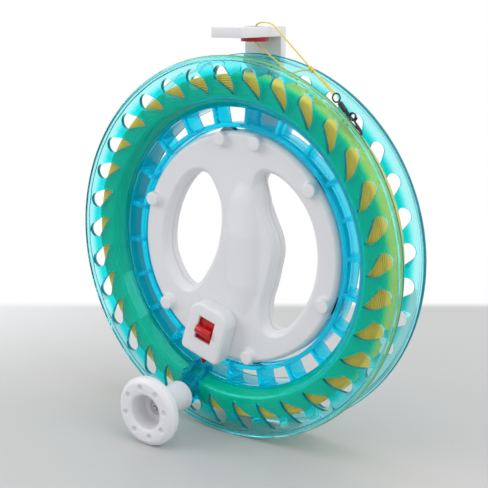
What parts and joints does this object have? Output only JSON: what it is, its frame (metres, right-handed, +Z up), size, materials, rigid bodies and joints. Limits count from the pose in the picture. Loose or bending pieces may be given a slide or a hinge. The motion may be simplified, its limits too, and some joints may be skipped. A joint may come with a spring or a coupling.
{
  "type": "kite line winder",
  "caption": "Hand-held kite line winder: transparent flanged wheel turning on rollers round a two-hole grip, with crank knob, slide lock and line guide.",
  "frame": {"origin": "centre of the grip on the wheel's turning axis, midway between the outer faces of the flanges", "axes": "+Y along the turning axis from the knob side to the rear, +Z up towards the line guide, +X to the right seen from the knob side"},
  "size_m": [0.26, 0.0925, 0.2808],
  "materials": {
    "clear_cyan": "transparent tinted moulding, high gloss",
    "yellow_line": "twisted line, satin",
    "white_plastic": "smooth moulding, soft gloss",
    "red_plastic": "smooth moulding, soft gloss",
    "steel": "plain",
    "bearing_steel": "ground and shielded",
    "black_metal": "blackened wire"
  },
  "bodies": {
    "handle": {"hub_front_shell": "white_plastic", "hub_rear_shell": "white_plastic", "lock_housing": "white_plastic", "lock_spring": "steel", "guide_arm": "white_plastic", "guide_eyelet": "red_plastic", "free_line": "yellow_line", "line_tail": "yellow_line", "line_knot": "yellow_line", "swivel_ring": "black_metal"},
    "wheel": {"front_flange": "clear_cyan", "rear_flange": "clear_cyan", "drum_rib_ring": "clear_cyan", "line_core": "yellow_line", "line_outer_turns": "yellow_line", "knob_bracket": "clear_cyan", "knob_spindle": "steel"},
    "knob": {"knob_grip": "white_plastic"},
    "lock": {"lock_slider": "red_plastic"},
    "line_end": {"swivel_barrel": "black_metal", "snap_hook": "black_metal"},
    "roller_1": {"roller_1": "bearing_steel"},
    "roller_2": {"roller_2": "bearing_steel"},
    "roller_3": {"roller_3": "bearing_steel"},
    "roller_4": {"roller_4": "bearing_steel"},
    "roller_5": {"roller_5": "bearing_steel"},
    "roller_6": {"roller_6": "bearing_steel"}
  },
  "joints": [
    {"name": "wheel_spin", "type": "hinge", "parent": "handle", "child": "wheel", "pos_m": [0, 0, 0], "axis": [0, 1, 0], "continuous": true},
    {"name": "knob_spin", "type": "hinge", "parent": "wheel", "child": "knob", "pos_m": [-0.03294, -0.046, -0.106], "axis": [0, 1, 0], "continuous": true},
    {"name": "lock_slide", "type": "slide", "parent": "handle", "child": "lock", "axis": [-0.2968, 0, -0.955], "range_m": [0, 0.0042]},
    {"name": "roller_1_spin", "type": "hinge", "parent": "handle", "child": "roller_1", "pos_m": [0.05901, 0.00235, 0.04677], "axis": [0, 1, 0], "continuous": true},
    {"name": "roller_2_spin", "type": "hinge", "parent": "handle", "child": "roller_2", "pos_m": [0.07001, 0.00235, -0.02772], "axis": [0, 1, 0], "continuous": true},
    {"name": "roller_3_spin", "type": "hinge", "parent": "handle", "child": "roller_3", "pos_m": [0.011, 0.00235, -0.07449], "axis": [0, 1, 0], "continuous": true},
    {"name": "roller_4_spin", "type": "hinge", "parent": "handle", "child": "roller_4", "pos_m": [-0.05901, 0.00235, -0.04677], "axis": [0, 1, 0], "continuous": true},
    {"name": "roller_5_spin", "type": "hinge", "parent": "handle", "child": "roller_5", "pos_m": [-0.07001, 0.00235, 0.02772], "axis": [0, 1, 0], "continuous": true},
    {"name": "roller_6_spin", "type": "hinge", "parent": "handle", "child": "roller_6", "pos_m": [-0.011, 0.00235, 0.07449], "axis": [0, 1, 0], "continuous": true},
    {"name": "swivel_spin", "type": "hinge", "parent": "handle", "child": "line_end", "pos_m": [0.071, 0.002, 0.105], "axis": [0.6494, 0, -0.7604], "continuous": true}
  ],
  "couplings": [
    {"joint": "roller_1_spin", "follows": "wheel_spin", "ratio": 11.08},
    {"joint": "roller_2_spin", "follows": "wheel_spin", "ratio": 11.08},
    {"joint": "roller_3_spin", "follows": "wheel_spin", "ratio": 11.08},
    {"joint": "roller_4_spin", "follows": "wheel_spin", "ratio": 11.08},
    {"joint": "roller_5_spin", "follows": "wheel_spin", "ratio": 11.08},
    {"joint": "roller_6_spin", "follows": "wheel_spin", "ratio": 11.08}
  ]
}
